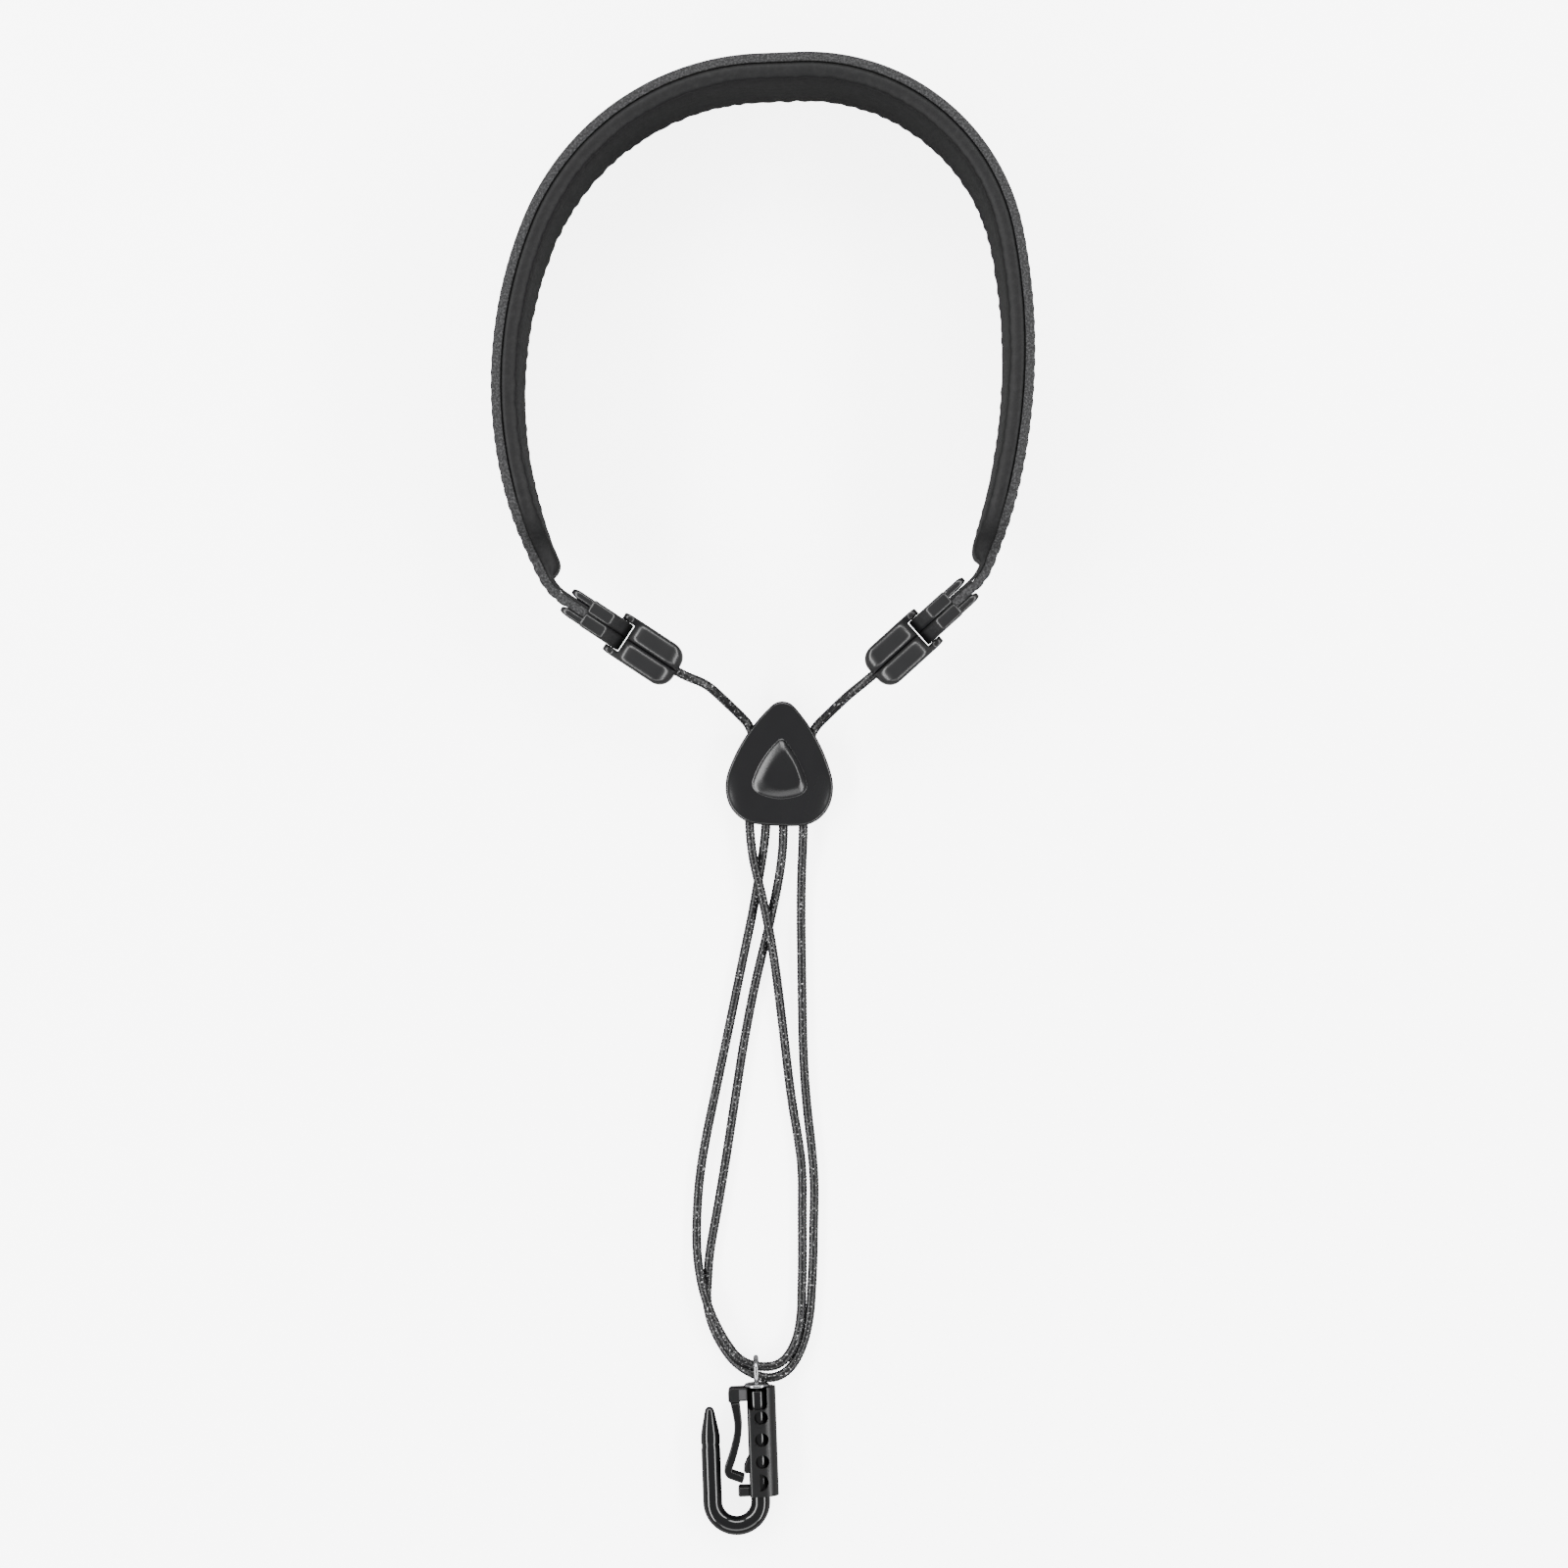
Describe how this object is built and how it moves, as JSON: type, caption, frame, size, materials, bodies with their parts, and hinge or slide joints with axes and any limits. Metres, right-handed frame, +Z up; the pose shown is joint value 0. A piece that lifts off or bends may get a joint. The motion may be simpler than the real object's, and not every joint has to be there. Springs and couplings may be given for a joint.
{
  "type": "saxophone neck strap",
  "caption": "Saxophone neck strap with a curved padded leather neck band, hinged end clips, a braided cord run through a triangular slider, and a swivelling latched hook.",
  "frame": {"origin": "on the surface the strap lies on, below the middle of the strap's overall length and width", "axes": "+Y from the hook towards the back of the neck, +X to the wearer's right when seen from above with the neck band at the top, +Z up from the surface the strap lies on"},
  "size_m": [0.1766, 0.4898, 0.05],
  "materials": {
    "leather": "matt grained, with a grey cut edge",
    "padded_lining": "soft satin",
    "foam": "soft foam",
    "clip_plastic": "gloss",
    "slider_plastic": "satin gloss",
    "hook_plastic": "gloss",
    "polished_steel": "polished",
    "core_steel": "plain",
    "cord": "braided"
  },
  "bodies": {
    "neck_band": {"outer_leather": "leather", "pad_foam": "foam", "pad_cover": "padded_lining", "left_clamp_inner": "clip_plastic", "left_clamp_outer": "clip_plastic", "left_tab_pins": "polished_steel", "right_clamp_inner": "clip_plastic", "right_clamp_outer": "clip_plastic", "right_tab_pins": "polished_steel", "left_cord": "cord", "right_cord": "cord"},
    "left_barrel": {"left_barrel_inner": "clip_plastic", "left_barrel_outer": "clip_plastic", "left_hinge_pin": "polished_steel", "left_cord_knot": "cord", "left_cord_end": "cord"},
    "right_barrel": {"right_barrel_inner": "clip_plastic", "right_barrel_outer": "clip_plastic", "right_hinge_pin": "polished_steel", "right_cord_knot": "cord", "right_cord_end": "cord"},
    "slider": {"slider_front_shell": "slider_plastic", "slider_back_shell": "slider_plastic", "cord_run_left": "cord", "cord_middle_loop": "cord", "cord_run_right": "cord"},
    "cord_bight": {"cord_bight": "cord"},
    "swivel_ring": {"swivel_eye": "polished_steel", "swivel_collar": "polished_steel"},
    "hook": {"hook_rod": "hook_plastic", "hook_core": "core_steel", "latch_sleeve": "hook_plastic", "latch_pin": "polished_steel"},
    "latch": {"latch_arm": "hook_plastic"}
  },
  "joints": [
    {"name": "left_barrel_hinge", "type": "hinge", "parent": "neck_band", "child": "left_barrel", "pos_m": [-0.04755, 0.05624, 0.025], "axis": [0.549, 0.8358, 0], "range_deg": [-40, 40], "deforming": ["left_cord_end", "left_cord"]},
    {"name": "right_barrel_hinge", "type": "hinge", "parent": "neck_band", "child": "right_barrel", "pos_m": [0.0531, 0.058, 0.025], "axis": [0.6717, -0.7408, 0], "range_deg": [-40, 40], "deforming": ["right_cord_end", "right_cord"]},
    {"name": "slider_slide", "type": "slide", "parent": "neck_band", "child": "slider", "axis": [0, -1, 0], "range_m": [-0.01, 0.2], "deforming": ["left_cord", "right_cord", "cord_run_left", "cord_middle_loop", "cord_run_right", "cord_bight"]},
    {"name": "bight_slide", "type": "slide", "parent": "slider", "child": "cord_bight", "axis": [0, -1, 0], "range_m": [-0.1, 0.005], "deforming": ["cord_run_left", "cord_middle_loop", "cord_run_right", "cord_bight"]},
    {"name": "ring_swing", "type": "hinge", "parent": "cord_bight", "child": "swivel_ring", "pos_m": [-0.0025, -0.1902, 0.0055], "axis": [0.9994, 0.0349, 0], "range_deg": [-75, 75]},
    {"name": "hook_swivel", "type": "hinge", "parent": "swivel_ring", "child": "hook", "pos_m": [-0.00215, -0.20019, 0.0055], "axis": [0.0349, -0.9994, 0], "continuous": true},
    {"name": "latch_pivot", "type": "hinge", "parent": "hook", "child": "latch", "pos_m": [-0.00974, -0.19786, 0.0055], "axis": [0, 0, 1], "range_deg": [0, 2.8], "stiffness_Nm_per_rad": 0.6}
  ],
  "couplings": [
    {"joint": "bight_slide", "follows": "slider_slide", "ratio": -0.5}
  ]
}
